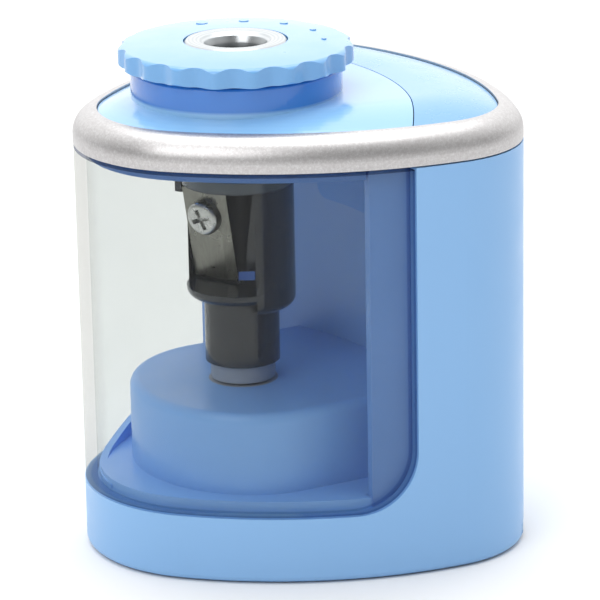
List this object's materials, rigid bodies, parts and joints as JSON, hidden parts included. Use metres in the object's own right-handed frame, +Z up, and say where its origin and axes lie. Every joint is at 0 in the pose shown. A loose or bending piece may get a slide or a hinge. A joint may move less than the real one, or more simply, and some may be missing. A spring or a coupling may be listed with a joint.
{
  "type": "battery pencil sharpener",
  "caption": "Upright motor-driven pencil sharpener with a knurled point dial on top, a spinning cone cutter behind a clear shavings bin and a battery column at the rear.",
  "frame": {"origin": "middle of the footprint on the table plane under the skirt", "axes": "+Z up along the cutter axis, -Y towards the bin and dial end, +X to the right of somebody facing the bin"},
  "size_m": [0.0666, 0.0683, 0.08],
  "materials": {
    "blue_plastic": "moulded pale blue plastic, semi-gloss",
    "silver_paint": "metallic silver paint over plastic",
    "clear_plastic": "clear moulded plastic",
    "smoked_plastic": "smoked translucent plastic",
    "blade_steel": "ground and brushed steel",
    "plated_steel": "zinc plated steel",
    "satin_metal": "turned and satin finished",
    "grey_plastic": "moulded mid grey plastic",
    "white_plastic": "natural acetal",
    "black_plastic": "moulded black plastic",
    "motor_steel": "bright drawn steel",
    "brass": "turned brass",
    "nickel_strip": "nickel plated spring strip",
    "cell_jacket": "plain printed jacket with a bright end"
  },
  "bodies": {
    "body": {"main_body": "blue_plastic", "base_plate": "blue_plastic", "base_screws": "plated_steel", "aa_cells": "cell_jacket", "cell_terminals": "nickel_strip", "cell_cap": "black_plastic", "gear_plate": "black_plastic", "gear_plate_screws": "plated_steel", "lower_bush": "brass", "idler_axle": "plated_steel", "motor_case": "motor_steel", "motor_end_bell": "black_plastic", "motor_bracket": "plated_steel", "motor_screws": "plated_steel", "hub_bush": "brass", "top_plate": "blue_plastic", "top_screws": "plated_steel", "trim_ring": "silver_paint", "front_deck": "blue_plastic", "rear_deck": "blue_plastic", "start_leaf": "brass"},
    "bin": {"shavings_bin": "clear_plastic"},
    "door": {"battery_door": "blue_plastic", "bridge_contact": "nickel_strip"},
    "dial": {"dial": "blue_plastic", "dial_retainer": "white_plastic", "entry_bush": "satin_metal"},
    "sleeve": {"lift_sleeve": "grey_plastic", "thrust_washer": "white_plastic"},
    "drive": {"drive_hub": "grey_plastic", "output_gear": "white_plastic", "lift_spring": "plated_steel"},
    "cutter": {"cutter_holder": "smoked_plastic", "blade": "blade_steel", "blade_screw": "plated_steel"},
    "idler": {"idler_gear": "white_plastic"},
    "rotor": {"motor_shaft": "plated_steel", "motor_pinion": "brass"},
    "start": {"stop_pin": "plated_steel"}
  },
  "joints": [
    {"name": "bin_slide", "type": "slide", "parent": "body", "child": "bin", "axis": [0, -1, 0], "range_m": [0, 0.06]},
    {"name": "door_slide", "type": "slide", "parent": "body", "child": "door", "axis": [0, 1, 0], "range_m": [0, 0.03]},
    {"name": "dial_turn", "type": "hinge", "parent": "body", "child": "dial", "pos_m": [0, -0.0082, 0.0774], "axis": [0, 0, 1], "range_deg": [0, 120]},
    {"name": "sleeve_lift", "type": "slide", "parent": "body", "child": "sleeve", "axis": [0, 0, -1], "range_m": [0, 0.002]},
    {"name": "drive_spin", "type": "hinge", "parent": "body", "child": "drive", "pos_m": [0, -0.0082, 0.02], "axis": [0, 0, 1], "continuous": true},
    {"name": "cutter_lift", "type": "slide", "parent": "drive", "child": "cutter", "axis": [0, 0, -1], "range_m": [0, 0.002], "deforming": ["lift_spring"]},
    {"name": "idler_spin", "type": "hinge", "parent": "body", "child": "idler", "pos_m": [0, 0.0083, 0.01], "axis": [0, 0, 1], "continuous": true},
    {"name": "rotor_spin", "type": "hinge", "parent": "body", "child": "rotor", "pos_m": [0, 0.0233, 0.02], "axis": [0, 0, 1], "continuous": true},
    {"name": "start_push", "type": "slide", "parent": "body", "child": "start", "axis": [0, 0, -1], "range_m": [0, 0.001], "stiffness_N_per_m": 150, "springref_m": -0.0005, "deforming": ["start_leaf"]}
  ],
  "couplings": [
    {"joint": "sleeve_lift", "follows": "dial_turn", "m_per_rad": 0.00095493},
    {"joint": "cutter_lift", "follows": "dial_turn", "m_per_rad": 0.00095493},
    {"joint": "idler_spin", "follows": "drive_spin", "ratio": -4.5},
    {"joint": "rotor_spin", "follows": "drive_spin", "ratio": 22.5}
  ]
}
